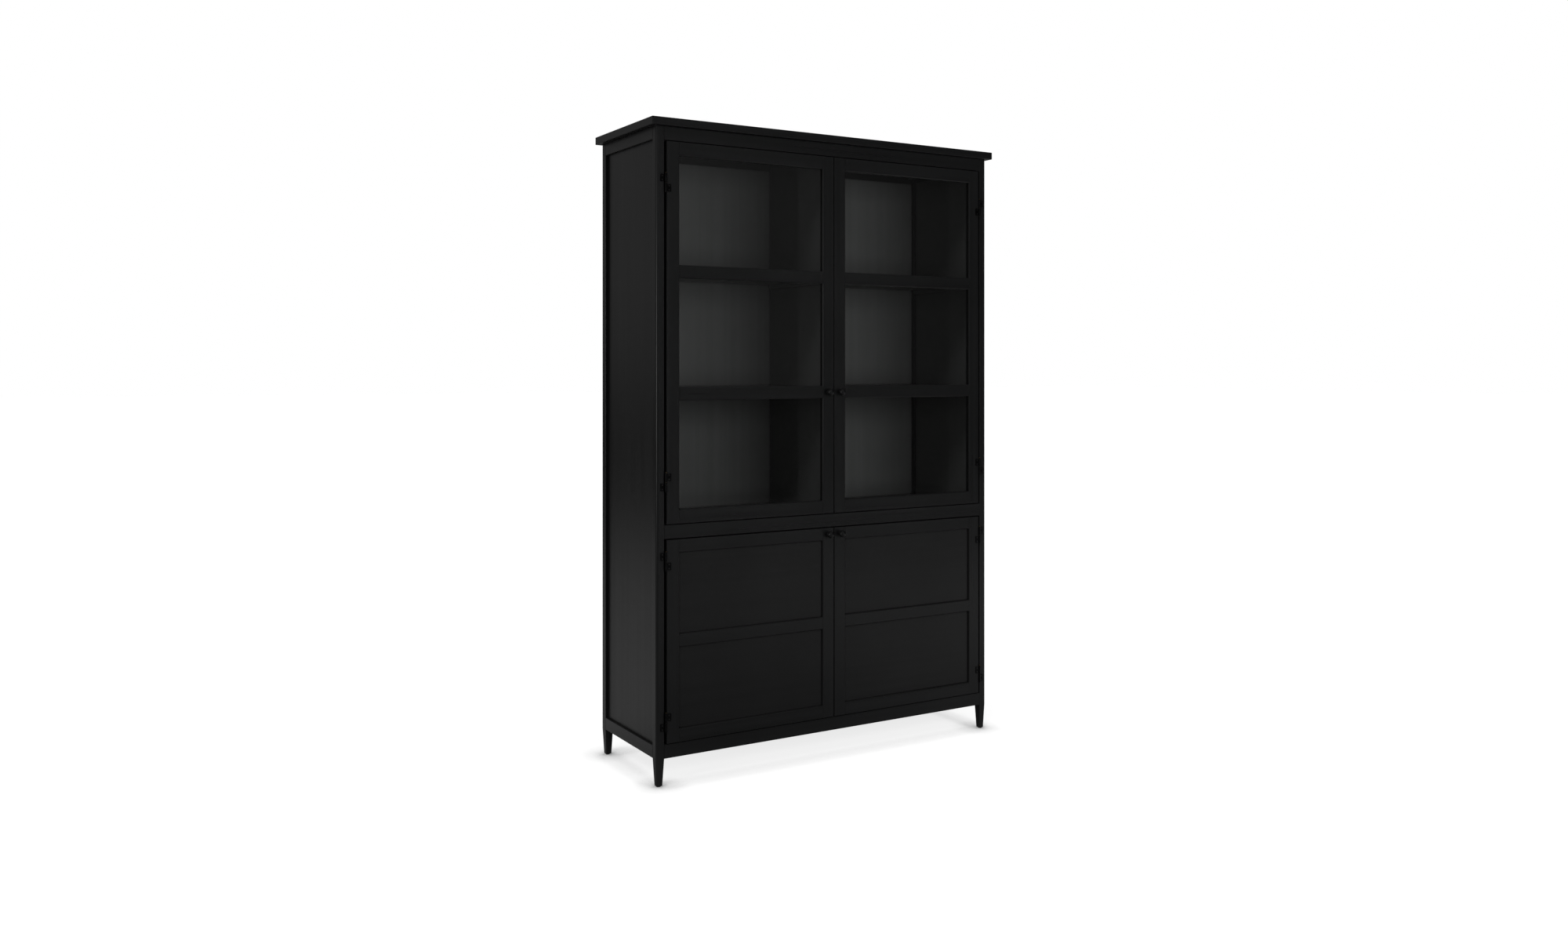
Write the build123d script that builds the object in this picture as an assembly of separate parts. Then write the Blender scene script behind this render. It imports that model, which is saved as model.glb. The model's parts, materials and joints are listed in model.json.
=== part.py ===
from build123d import *
import os

# Black painted china cabinet: a frame-and-panel carcass on four tapered legs, with an
# upper pair of glazed doors and a lower pair of panelled doors.
# Millimetres. +X is the cabinet's right as seen from the front, +Y its back, +Z up.
# The origin is on the floor, in the middle of the whole object.

# ---------------------------------------------------------------- driving dimensions
overall_height = 2100.0
body_width = 1320.0          # outside the posts
body_depth = 430.0           # front of the front posts to back of the back posts

top_thickness = 25.0
top_side_overhang = 20.0
top_front_overhang = 15.0
top_back_overhang = 15.0
top_corner_radius = 3.0
top_edge_round = 1.5

post_size = 28.0
post_outer_round = 8.0       # rounded outer front arris
post_arris = 2.0             # the other three arrises
leg_height = 88.0            # floor to the underside of the bottom rails
foot_size = 19.0             # square section where the leg meets its glide
glide_height = 3.0
glide_diameter = 15.0
glide_nail_diameter = 3.0
glide_nail_length = 16.0
glide_edge_round = 0.8

rail_height = 44.0
rail_thickness = 18.0
side_rail_height = 40.0
side_rail_thickness = 20.0
lower_opening_height = 645.0
rail_arris = 1.2

tenon_length = 11.0
tenon_thickness = 7.0
tenon_height = 22.0
tenon_clearance = 0.1
mortise_end_room = 5         # room beyond a tenon's end, in side clearances
over_cut = 1.0               # how far a cutting or joining shape runs past what it meets

side_panel_recess = 9.0
side_panel_thickness = 9.0
back_panel_thickness = 6.0
back_panel_recess = 9.0
groove_depth = 7.0
groove_clearance = 0.1
panel_end_play = 1.0

board_thickness = 18.0       # decks and shelves
board_play = 0.5             # at each end of a deck or shelf
partition_thickness = 18.0   # the upright board in the middle of each half
housing_depth = 3.0          # how deep a partition stands in the board below it
housing_clearance = 0.1
cleat_width = 12.0
cleat_height = 16.0
cleat_chamfer = 4.0
cleat_screw_inset = 60.0     # from each end of a cleat
cleat_screw_depth = 6.0      # beyond the cleat
corner_block_size = 34.0
corner_block_height = 26.0
corner_screw_share = 1 / 3   # of the block's size, from each face that it is glued to
top_screw_depth = 16.0       # into the top board
wood_screw_diameter = 3.5
wood_screw_head = 7.0
wood_screw_head_height = 2.0
shelf_below_bar_top = 4.0

door_proud = 4.0             # door faces stand this far in front of the posts
door_stop_clearance = 0.3
hinge_gap = 7.0              # between a post and its door
rail_gap = 3.0               # above and below each door
meeting_gap = 3.0            # between the two doors of a pair
stile_width = 44.0
door_rail_height = 44.0      # top and bottom rails of the glazed doors
glazing_bar_height = 42.0
lower_door_rail_height = 42.0
door_arris = 1.2
opening_chamfer = 2.5        # small bevel round every pane and panel

glass_setback = 7.0
glass_thickness = 4.0
glass_play = 1.0
rebate_width = 8.0
bead_clearance = 0.1
bead_round = 3.0

door_panel_setback = 7.0
door_panel_thickness = 8.0

stop_height = 44.0
stop_thickness = 16.0
stop_overlap = 20.0          # how far a stop reaches behind its doors
stop_end_margin = 40.0
magnet_diameter = 10.0
magnet_thickness = 4.0
strike_diameter = 12.0
strike_thickness = 1.5

knob_diameter = 24.0
knob_projection = 26.0
knob_base_diameter = 15.0
knob_neck_diameter = 9.0
knob_base_thickness = 1.5
knob_neck_length = 9.0       # from the door to the underside of the head
knob_rim_height = 16.0       # from the door to the widest point
quarter_pull = 0.5523        # how far a quarter ellipse pulls towards its corner
knob_screw_diameter = 4.0
knob_screw_depth = 12.0
screw_head_diameter = 8.0
screw_head_height = 2.5

barrel_diameter = 7.0
barrel_ahead_of_door = 2.0   # hinge axis in front of the door faces
hinge_height = 62.0
hinge_split = 0.6            # between the two knuckles
pin_diameter = 3.5
pin_clearance = 0.04
pin_head_diameter = 6.0
pin_head_height = 1.5
pin_head_round = 0.7
barrel_edge_round = 0.8
leaf_thickness = 1.5
leaf_reach = 18.0            # hinge axis to the leaf's outer end
leaf_outer_height = 27.0
leaf_inner_height = 19.0
leaf_corner_round = 3.0
hinge_screw_diameter = 2.4
hinge_screw_length = 13.0
hinge_screw_head = 4.4
hinge_screw_spacing = 13.0
screw_clearance = 0.05
upper_hinge_inset = 132.0    # door end to hinge centre
lower_hinge_inset = 67.0

# ---------------------------------------------------------------- derived positions
half_width = body_width / 2
post_inner = half_width - post_size                       # inner face, from the centre
overhang_depth = body_depth + top_back_overhang
front = (door_proud + knob_projection - overhang_depth) / 2   # front face of the posts
back = front + body_depth
front_post_back = front + post_size
back_post_front = back - post_size
rail_back = front + rail_thickness
back_rail_front = back - rail_thickness

under_top = overall_height - top_thickness
bottom_rail_top = leg_height + rail_height
mid_rail_bottom = bottom_rail_top + lower_opening_height
mid_rail_top = mid_rail_bottom + rail_height
top_rail_bottom = under_top - rail_height

door_front = front - door_proud
door_thickness = rail_thickness + door_proud - door_stop_clearance
door_back = door_front + door_thickness
hinge_edge = post_inner - hinge_gap
meeting_edge = meeting_gap / 2

panel_outside = half_width - side_panel_recess
panel_inside = panel_outside - side_panel_thickness
side_rail_inside = half_width - side_rail_thickness
back_panel_back = back - back_panel_recess
back_panel_front = back_panel_back - back_panel_thickness

axis_x = post_inner - hinge_gap / 2
axis_y = door_front - barrel_ahead_of_door

partition_half = partition_thickness / 2
partition_y = (rail_back + stop_thickness, back_rail_front)
cleat_y = (front_post_back, back_post_front)
shelf_y = (front_post_back + board_play, back_panel_front - board_play)
lower_bay = (bottom_rail_top, mid_rail_top - board_thickness)
upper_bay = (mid_rail_top, under_top)

glass_front = door_front + glass_setback
glass_back = glass_front + glass_thickness

LEFT, RIGHT = -1, 1
SIDES = {"left": LEFT, "right": RIGHT}

upper_door = (mid_rail_top + rail_gap, top_rail_bottom - rail_gap)
lower_door = (bottom_rail_top + rail_gap, mid_rail_bottom - rail_gap)


# ---------------------------------------------------------------- helpers
def block(x_span, y_span, z_span):
    """A box between the given pairs of coordinates, in any order."""
    spans = [sorted(span) for span in (x_span, y_span, z_span)]
    size = [high - low for low, high in spans]
    centre = [(high + low) / 2 for low, high in spans]
    return Pos(*centre) * Box(*size)


def side_block(side, u_span, y_span, z_span):
    """A box placed by its distances u from the cabinet's middle plane, on one side."""
    return block([side * u for u in u_span], y_span, z_span)


def write(node, *shapes):
    """One STEP file for a node; several shapes stay separate solids."""
    solids = [solid for shape in shapes for solid in shape.solids()]
    shape = solids[0] if len(solids) == 1 else Compound(children=solids)
    export_step(shape, "parts/" + node + ".step")


def softened(shape, radius, axis):
    """Round the long edges of a board that run along the given axis."""
    return fillet(shape.edges().filter_by(axis), radius)


def x_tenon(side, u_start, y_middle, z_middle, clearance=0.0):
    """A tenon pointing away from the middle plane; with a clearance, its mortise."""
    half_t = tenon_thickness / 2 + clearance
    half_h = tenon_height / 2 + clearance
    reach = tenon_length + mortise_end_room * clearance
    return side_block(side, (u_start, u_start + reach),
                      (y_middle - half_t, y_middle + half_t),
                      (z_middle - half_h, z_middle + half_h))


def y_tenon(side, direction, y_start, z_middle, clearance=0.0):
    """A side rail's tenon, pointing to the front (-1) or the back (1)."""
    middle = half_width - side_rail_thickness / 2
    half_t = tenon_thickness / 2 + clearance
    half_h = tenon_height / 2 + clearance
    reach = tenon_length + mortise_end_room * clearance
    return side_block(side, (middle - half_t, middle + half_t),
                      (y_start, y_start + direction * reach),
                      (z_middle - half_h, z_middle + half_h))


def grown(span, amount):
    """A pair of coordinates moved apart by the amount at each end."""
    return (span[0] - amount, span[1] + amount)


def bevel(u_span, z_span, side):
    """The tapered cut that leaves a mitred bevel round an opening's front."""
    low, high = sorted(side * u for u in u_span)
    width, height = high - low, z_span[1] - z_span[0]
    middle = ((low + high) / 2, (z_span[0] + z_span[1]) / 2)

    def outline(y, extra):
        plane = Plane(origin=(middle[0], y, middle[1]), x_dir=(1, 0, 0), z_dir=(0, -1, 0))
        return plane * Rectangle(width + 2 * extra, height + 2 * extra)

    return loft([outline(door_front, opening_chamfer).face(),
                 outline(door_front + opening_chamfer, 0).face()])


# ---------------------------------------------------------------- posts and legs
rail_middles = {
    "bottom": leg_height + rail_height / 2,
    "mid": mid_rail_bottom + rail_height / 2,
    "top": top_rail_bottom + rail_height / 2,
}
side_rail_middles = (leg_height + side_rail_height / 2, under_top - side_rail_height / 2)
side_opening = (leg_height + side_rail_height, under_top - side_rail_height)
front_tenon_y = front + rail_thickness / 2
back_tenon_y = back - rail_thickness / 2


def post_outline(z, size, side, is_front):
    """The post's section at height z, with a large round on a front post's outer arris."""
    scale = size / post_size
    plane = Plane(origin=(0, 0, z))
    sharp = Rectangle(size, size)
    if not is_front:
        return plane * fillet(sharp.vertices(), post_arris * scale)
    outer = [v for v in sharp.vertices() if v.X * side > 0 and v.Y < 0]
    others = [v for v in sharp.vertices() if v not in outer]
    section = fillet(others, post_arris * scale)
    corner = max(section.vertices(), key=lambda v: v.X * side - v.Y)
    return plane * fillet([corner], post_outer_round * scale)


def post(side, is_front):
    """One post and its tapered leg, with mortises and panel grooves cut in it."""
    x_middle = side * (half_width - post_size / 2)
    y_middle = front + post_size / 2 if is_front else back - post_size / 2
    shaft = extrude(post_outline(leg_height, post_size, side, is_front),
                    under_top - leg_height)
    leg = loft([post_outline(glide_height, foot_size, side, is_front).face(),
                post_outline(leg_height, post_size, side, is_front).face()])
    piece = Pos(x_middle, y_middle, 0) * (shaft + leg)
    tenon_y = front_tenon_y if is_front else back_tenon_y
    inner_y = front_post_back if is_front else back_post_front
    into = -1 if is_front else 1
    for z_middle in rail_middles.values():
        piece -= x_tenon(side, post_inner, tenon_y, z_middle, tenon_clearance)
    for z_middle in side_rail_middles:
        piece -= y_tenon(side, into, inner_y, z_middle, tenon_clearance)
    piece -= side_block(side, grown((panel_inside, panel_outside), groove_clearance),
                        (inner_y, inner_y + into * groove_depth),
                        grown(side_opening, groove_depth))
    if not is_front:
        for z_span in back_openings:
            piece -= side_block(side, (post_inner, post_inner + groove_depth),
                                grown((back_panel_front, back_panel_back), groove_clearance),
                                grown(z_span, groove_depth))
    nail_hole = Cylinder(glide_nail_diameter / 2, glide_nail_length,
                         align=(Align.CENTER, Align.CENTER, Align.MIN))
    piece -= Pos(x_middle, y_middle, glide_height) * nail_hole
    for z_hinge, post_part in hinge_places():
        if is_front:
            for hole in leaf_screw_holes(side, z_hinge, post_part, on_post=True):
                piece -= hole
    return piece


def foot_glide(side, is_front):
    """A nylon disc with its nail, under one leg."""
    x_middle = side * (half_width - post_size / 2)
    y_middle = front + post_size / 2 if is_front else back - post_size / 2
    disc = Cylinder(glide_diameter / 2, glide_height,
                    align=(Align.CENTER, Align.CENTER, Align.MIN))
    disc = fillet(disc.edges().sort_by(Axis.Z)[0], glide_edge_round)
    nail = Pos(0, 0, glide_height) * Cylinder(glide_nail_diameter / 2, glide_nail_length,
                                              align=(Align.CENTER, Align.CENTER, Align.MIN))
    return Pos(x_middle, y_middle, 0) * (disc + nail)


# ---------------------------------------------------------------- hinges
def hinge_places():
    """Each hinge's middle height, with 1 if the post's knuckle is the upper one, else -1."""
    places = []
    for (low, high), inset in ((upper_door, upper_hinge_inset),
                               (lower_door, lower_hinge_inset)):
        places.append((high - inset, 1))
        places.append((low + inset, -1))
    return places


def knuckle_span(z_hinge, part):
    """The heights of the knuckle above (1) or below (-1) a hinge's middle."""
    near = z_hinge + part * hinge_split / 2
    far = z_hinge + part * hinge_height / 2
    return tuple(sorted((near, far)))


def leaf_screw_places(z_hinge, part):
    """The heights of a leaf's two screws."""
    low, high = knuckle_span(z_hinge, part)
    middle = (low + high) / 2
    return (middle - hinge_screw_spacing / 2, middle + hinge_screw_spacing / 2)


def leaf_u(on_post):
    """Distance from the middle plane to a leaf's row of screws."""
    if on_post:
        return (post_inner + axis_x + leaf_reach) / 2
    return (hinge_edge + axis_x - leaf_reach) / 2


def hinge_screw(face_y, growth=0.0):
    """A countersunk screw along +Y, its head flush with the leaf whose front is face_y."""
    shank = Cylinder(hinge_screw_diameter / 2 + growth, hinge_screw_length + growth,
                     align=(Align.CENTER, Align.CENTER, Align.MIN))
    head = Cone(hinge_screw_head / 2 + growth, hinge_screw_diameter / 2 + growth,
                leaf_thickness, align=(Align.CENTER, Align.CENTER, Align.MIN))
    return Pos(0, face_y, 0) * Rot(-90, 0, 0) * (shank + head)


def leaf_screws(side, z_hinge, part, on_post, growth=0.0):
    """The two screws of a leaf, with their heads in its face."""
    face_y = (front if on_post else door_front) - leaf_thickness
    return [Pos(side * leaf_u(on_post), 0, z) * hinge_screw(face_y, growth)
            for z in leaf_screw_places(z_hinge, part)]


def leaf_screw_holes(side, z_hinge, part, on_post):
    """The holes for a leaf's screws, through the leaf and into the wood."""
    return leaf_screws(side, z_hinge, part, on_post, screw_clearance)


def hinge_leaf(side, z_hinge, part, on_post):
    """A flared leaf on the face of the post or the door, with its half of the barrel."""
    low, high = knuckle_span(z_hinge, part)
    middle = (low + high) / 2
    face_y = front if on_post else door_front
    away = side if on_post else -side
    edge_u = post_inner if on_post else hinge_edge
    outer_x = side * axis_x + away * leaf_reach
    inner_x = side * edge_u
    corners = [(inner_x, middle - leaf_inner_height / 2),
               (outer_x, middle - leaf_outer_height / 2),
               (outer_x, middle + leaf_outer_height / 2),
               (inner_x, middle + leaf_inner_height / 2)]
    outline = Plane.XZ * make_face(Polyline(*corners, close=True))
    plate = Pos(0, face_y, 0) * extrude(outline, leaf_thickness)
    outer_edges = plate.edges().filter_by(Axis.Y).sort_by(lambda e: away * e.center().X)[-2:]
    plate = fillet(outer_edges, leaf_corner_round)
    neck = block((side * axis_x, inner_x + away * over_cut), (axis_y, face_y),
                 (middle - leaf_inner_height / 2, middle + leaf_inner_height / 2))
    barrel = Cylinder(barrel_diameter / 2, high - low)
    barrel = fillet(barrel.edges().filter_by(GeomType.CIRCLE), barrel_edge_round)
    leaf = plate + neck + Pos(side * axis_x, axis_y, middle) * barrel
    leaf -= Pos(side * axis_x, axis_y, middle) * Cylinder(pin_diameter / 2 + pin_clearance,
                                                          high - low + over_cut)
    for hole in leaf_screw_holes(side, z_hinge, part, on_post):
        leaf -= hole
    return leaf


def hinge_pin(side, z_hinge):
    """A headed pin that drops through both knuckles."""
    shank = Cylinder(pin_diameter / 2, hinge_height)
    head = Pos(0, 0, hinge_height / 2) * Cylinder(pin_head_diameter / 2, pin_head_height,
                                                  align=(Align.CENTER, Align.CENTER, Align.MIN))
    head = fillet(head.edges().sort_by(Axis.Z)[-1], pin_head_round)
    return Pos(side * axis_x, axis_y, z_hinge) * (shank + head)


# ---------------------------------------------------------------- carcass
back_openings = ((bottom_rail_top, mid_rail_bottom), (mid_rail_top, top_rail_bottom))


def front_rail(z_middle):
    """A rail between the front posts, flush with their faces."""
    z_span = (z_middle - rail_height / 2, z_middle + rail_height / 2)
    rail = softened(block((-post_inner, post_inner), (front, rail_back), z_span),
                    rail_arris, Axis.X)
    for side in SIDES.values():
        rail += x_tenon(side, post_inner, front_tenon_y, z_middle)
    return rail


def back_rail(z_middle):
    """A rail between the back posts, grooved for the back panels."""
    z_span = (z_middle - rail_height / 2, z_middle + rail_height / 2)
    rail = softened(block((-post_inner, post_inner), (back_rail_front, back), z_span),
                    rail_arris, Axis.X)
    for side in SIDES.values():
        rail += x_tenon(side, post_inner, back_tenon_y, z_middle)
    for opening in back_openings:
        rail -= block((-post_inner, post_inner),
                      grown((back_panel_front, back_panel_back), groove_clearance),
                      grown(opening, groove_depth))
    return rail


def side_rail(side, z_middle):
    """A rail between a front and a back post, grooved for the side panel."""
    z_span = (z_middle - side_rail_height / 2, z_middle + side_rail_height / 2)
    rail = softened(side_block(side, (side_rail_inside, half_width),
                               (front_post_back, back_post_front), z_span),
                    rail_arris, Axis.Y)
    rail += y_tenon(side, -1, front_post_back, z_middle)
    rail += y_tenon(side, 1, back_post_front, z_middle)
    rail -= side_block(side, grown((panel_inside, panel_outside), groove_clearance),
                       (front_post_back, back_post_front),
                       grown(side_opening, groove_depth))
    for screw in cleat_screws(side, bottom_rail_top, side_rail_inside, 1, screw_clearance):
        rail -= screw
    return rail


def side_panel(side):
    """The flat panel of one side, pierced where the cleats are screwed on."""
    reach = groove_depth - panel_end_play
    panel = side_block(side, (panel_inside, panel_outside),
                       grown((front_post_back, back_post_front), reach),
                       grown(side_opening, reach))
    for cleat_side, top, against, facing in cleat_places():
        if cleat_side == side and against == panel_inside:
            for screw in cleat_screws(side, top, against, facing, screw_clearance):
                panel -= screw
    return panel


def back_panel(z_span):
    """A panel in one opening of the back, short of its grooves' bottoms."""
    reach = groove_depth - panel_end_play
    return block(grown((-post_inner, post_inner), reach),
                 (back_panel_front, back_panel_back), grown(z_span, reach))


def top_board():
    """The overhanging top, bored for its fixing screws and housed for the partition."""
    board = block((-half_width - top_side_overhang, half_width + top_side_overhang),
                  (front - top_front_overhang, back + top_back_overhang),
                  (under_top, overall_height))
    board = softened(board, top_corner_radius, Axis.Z)
    rims = board.edges().group_by(Axis.Z)
    board = fillet(rims[0] + rims[-1], top_edge_round)
    for side in SIDES.values():
        for is_front in (True, False):
            board -= top_fixing_screw(side, is_front, screw_clearance)
    return board - partition_housing(upper_bay)


def board(top, half_span, y_span, notch_front):
    """A deck or shelf, notched round the posts that it reaches."""
    z_span = (top - board_thickness, top)
    piece = block((-half_span, half_span), y_span, z_span)
    for side in SIDES.values():
        u_span = (post_inner - board_play, half_span + over_cut)
        piece -= side_block(side, u_span,
                            (back_post_front - board_play, y_span[1] + over_cut), z_span)
        if notch_front:
            piece -= side_block(side, u_span,
                                (y_span[0] - over_cut, front_post_back + board_play), z_span)
    return piece


def half_shelf(side, top):
    """A shelf between the partition and one side."""
    whole = board(top, panel_inside - board_play, shelf_y, False)
    return whole & side_block(side, (partition_half + board_play, panel_inside), shelf_y,
                              (top - board_thickness, top))


def partition(bay):
    """The upright board that parts one half of the cabinet, pierced for its cleats' screws."""
    upright = block((-partition_half, partition_half), partition_y,
                    (bay[0] - housing_depth, bay[1] + housing_depth - board_play))
    for side, top, against, facing in cleat_places():
        if against == partition_half and bay[0] < top < bay[1]:
            for screw in cleat_screws(side, top, against, facing, screw_clearance):
                upright -= screw
    return upright


def partition_housing(bay):
    """The grooves that hold a partition's two ends."""
    return block(grown((-partition_half, partition_half), housing_clearance),
                 grown(partition_y, housing_clearance), grown(bay, housing_depth))


def cleat(side, deck_top, against, facing):
    """A batten that carries one end of a deck or shelf, fixed to a side or the partition."""
    top = deck_top - board_thickness
    batten = side_block(side, (against - facing * cleat_width, against), cleat_y,
                        (top - cleat_height, top))
    inner = batten.edges().filter_by(Axis.Y).sort_by(lambda e: facing * abs(e.center().X))[:2]
    batten = chamfer(inner.sort_by(Axis.Z)[0], cleat_chamfer)
    for screw in cleat_screws(side, deck_top, against, facing, screw_clearance):
        batten -= screw
    return batten


def wood_screw(length, growth=0.0):
    """A countersunk screw along +Z, its head's flat top at the origin."""
    head = Cone(wood_screw_head / 2 + growth, wood_screw_diameter / 2 + growth,
                wood_screw_head_height, align=(Align.CENTER, Align.CENTER, Align.MIN))
    shank = Cylinder(wood_screw_diameter / 2 + growth, length + growth,
                     align=(Align.CENTER, Align.CENTER, Align.MIN))
    return head + shank


def cleat_screws(side, deck_top, against, facing, growth=0.0):
    """Two screws through a cleat into the board that carries it."""
    z_middle = deck_top - board_thickness - cleat_height / 2
    screw = Rot(0, side * facing * 90, 0) * wood_screw(cleat_width + cleat_screw_depth, growth)
    return [Pos(side * (against - facing * cleat_width), y, z_middle) * screw
            for y in grown(cleat_y, -cleat_screw_inset)]


def cleat_places():
    """Each cleat's side, the top of the board it carries, what it is fixed to, and whether
    that faces outwards (1, a side of the cabinet) or inwards (-1, the partition)."""
    shelf_levels = (lower_shelf_top, *upper_shelf_tops)
    places = []
    for side in SIDES.values():
        places.append((side, bottom_rail_top, side_rail_inside, 1))
        places += [(side, top, panel_inside, 1) for top in (mid_rail_top, *shelf_levels)]
        places += [(side, top, partition_half, -1) for top in shelf_levels]
    return places


def corner_block(side, is_front):
    """A triangular block that ties the top board to a side rail and a post."""
    y_corner = front_post_back if is_front else back_post_front
    towards = 1 if is_front else -1
    corners = [(side * side_rail_inside, y_corner),
               (side * (side_rail_inside - corner_block_size), y_corner),
               (side * side_rail_inside, y_corner + towards * corner_block_size)]
    outline = Pos(0, 0, under_top - corner_block_height) * make_face(
        Polyline(*corners, close=True))
    block_piece = extrude(outline, corner_block_height, dir=(0, 0, 1))
    return block_piece - top_fixing_screw(side, is_front, screw_clearance)


def top_fixing_screw(side, is_front, growth=0.0):
    """A screw up through a corner block into the top board."""
    y_corner = front_post_back if is_front else back_post_front
    towards = 1 if is_front else -1
    inset = corner_block_size * corner_screw_share
    screw = wood_screw(corner_block_height + top_screw_depth, growth)
    return Pos(side * (side_rail_inside - inset), y_corner + towards * inset,
               under_top - corner_block_height) * screw


def door_stop(door_top, z_top):
    """A strip behind a front rail that both doors of a pair close against."""
    length = 2 * (post_inner - stop_end_margin)
    strip = block((-length / 2, length / 2), (rail_back, rail_back + stop_thickness),
                  (door_top - stop_overlap, z_top))
    for side in SIDES.values():
        strip -= magnet(side, door_top)
    return strip


def magnet(side, door_top):
    """A catch magnet, let into the front of a door stop."""
    return catch_disc(side, door_top, rail_back, magnet_diameter, magnet_thickness)


def catch_disc(side, door_top, y_front, diameter, thickness):
    """A disc standing on edge behind the meeting stile."""
    disc = Rot(-90, 0, 0) * Cylinder(diameter / 2, thickness,
                                     align=(Align.CENTER, Align.CENTER, Align.MIN))
    return Pos(side * knob_u, y_front, door_top - stop_overlap / 2) * disc


# ---------------------------------------------------------------- doors
knob_u = meeting_edge + stile_width / 2
opening_u = (meeting_edge + stile_width, hinge_edge - stile_width)
door_middle_y = door_front + door_thickness / 2


def glazed_openings():
    """The three equal pane openings of an upper door, bottom to top."""
    low = upper_door[0] + door_rail_height
    high = upper_door[1] - door_rail_height
    pane = (high - low - 2 * glazing_bar_height) / 3
    step = pane + glazing_bar_height
    return [(low + i * step, low + i * step + pane) for i in range(3)]


def panelled_openings():
    """The two equal panel openings of a lower door, bottom to top."""
    low = lower_door[0] + lower_door_rail_height
    high = lower_door[1] - lower_door_rail_height
    panel = (high - low - lower_door_rail_height) / 2
    step = panel + lower_door_rail_height
    return [(low + i * step, low + i * step + panel) for i in range(2)]


def rebate(side, z_span):
    """The space behind a pane's lip, for the glass and its beads."""
    return side_block(side, grown(opening_u, rebate_width), (glass_front, door_back + over_cut),
                      grown(z_span, rebate_width))


def panel_groove(side, z_span):
    """The groove that a lower door's panel stands in, round one opening."""
    y_front = door_front + door_panel_setback
    return side_block(side, grown(opening_u, groove_depth),
                      grown((y_front, y_front + door_panel_thickness), groove_clearance),
                      grown(z_span, groove_depth))


def knob_hole(side, z_knob):
    """The clearance hole for a knob's screw, counterbored at the door's back."""
    shank = Rot(-90, 0, 0) * Cylinder(knob_screw_diameter / 2 + screw_clearance,
                                      door_thickness,
                                      align=(Align.CENTER, Align.CENTER, Align.MIN))
    head = Rot(90, 0, 0) * Cylinder(screw_head_diameter / 2 + screw_clearance,
                                    screw_head_height,
                                    align=(Align.CENTER, Align.CENTER, Align.MIN))
    return Pos(side * knob_u, door_front, z_knob) * (shank + Pos(0, door_thickness, 0) * head)


def quarter_round(start, corner, end):
    """A quarter of an ellipse from start to end that rounds off the corner."""
    pulls = [Vector(*p) + (Vector(*corner) - Vector(*p)) * quarter_pull for p in (start, end)]
    return Bezier(start, *pulls, end)


def knob(side, z_knob):
    """A turned round knob: flared base, slim neck and a domed head."""
    r_base, r_neck, r_head = knob_base_diameter / 2, knob_neck_diameter / 2, knob_diameter / 2
    foot = Polyline((0, 0), (r_base, 0), (r_base, knob_base_thickness))
    flare = quarter_round((r_base, knob_base_thickness), (r_neck, knob_base_thickness),
                          (r_neck, knob_neck_length))
    under = quarter_round((r_neck, knob_neck_length), (r_head, knob_neck_length),
                          (r_head, knob_rim_height))
    dome = quarter_round((r_head, knob_rim_height), (r_head, knob_projection),
                         (0, knob_projection))
    section = make_face(foot + flare + under + dome + Line((0, knob_projection), (0, 0)))
    turned = revolve(section, Axis.Y)
    turned -= Rot(-90, 0, 0) * Cylinder(knob_screw_diameter / 2 + screw_clearance,
                                        knob_screw_depth + over_cut,
                                        align=(Align.CENTER, Align.CENTER, Align.MIN))
    return Pos(side * knob_u, door_front, z_knob) * Rot(180, 0, 0) * turned


def knob_screw(side, z_knob):
    """A machine screw from the back of the door into the knob."""
    length = door_thickness - screw_head_height + knob_screw_depth
    shank = Rot(90, 0, 0) * Cylinder(knob_screw_diameter / 2, length,
                                     align=(Align.CENTER, Align.CENTER, Align.MIN))
    head = Rot(-90, 0, 0) * Cylinder(screw_head_diameter / 2, screw_head_height,
                                     align=(Align.CENTER, Align.CENTER, Align.MIN))
    seat = door_back - screw_head_height
    return Pos(side * knob_u, seat, z_knob) * (shank + head)


def door_member(shape, side, openings, cut):
    """Cut a stile or rail to the bevels and rebates of its door's openings."""
    for z_span in openings:
        shape -= bevel(opening_u, z_span, side)
        shape -= cut(side, z_span)
    return shape


def crossbars(door, openings):
    """The heights of a door's rails and bars, between and beyond its openings."""
    edges = [door[0]] + [z for span in openings for z in span] + [door[1]]
    return [(edges[i], edges[i + 1]) for i in range(0, len(edges), 2)]


def door_frame(side, door, openings, cut):
    """Hinge stile, meeting stile and the list of crossbars of one door."""
    bars = crossbars(door, openings)
    y_span = (door_front, door_back)
    hinge_stile = side_block(side, (hinge_edge - stile_width, hinge_edge), y_span, door)
    meeting_stile = side_block(side, (meeting_edge, meeting_edge + stile_width), y_span, door)
    hinge_stile = softened(hinge_stile, door_arris, Axis.Z)
    meeting_stile = softened(meeting_stile, door_arris, Axis.Z)
    crosspieces = []
    for low, high in bars:
        middle = (low + high) / 2
        bar = side_block(side, opening_u, y_span, (low, high))
        bar += x_tenon(side, opening_u[1], door_middle_y, middle)
        bar += x_tenon(-side, -opening_u[0], door_middle_y, middle)
        crosspieces.append(door_member(bar, side, openings, cut))
        hinge_stile -= x_tenon(side, opening_u[1], door_middle_y, middle, tenon_clearance)
        meeting_stile -= x_tenon(-side, -opening_u[0], door_middle_y, middle, tenon_clearance)
    hinge_stile = door_member(hinge_stile, side, openings, cut)
    meeting_stile = door_member(meeting_stile, side, openings, cut)
    return hinge_stile, meeting_stile, crosspieces


def door_hinges(door):
    """The hinge places that lie within one door's height."""
    return [(z, part) for z, part in hinge_places() if door[0] < z < door[1]]


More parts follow.
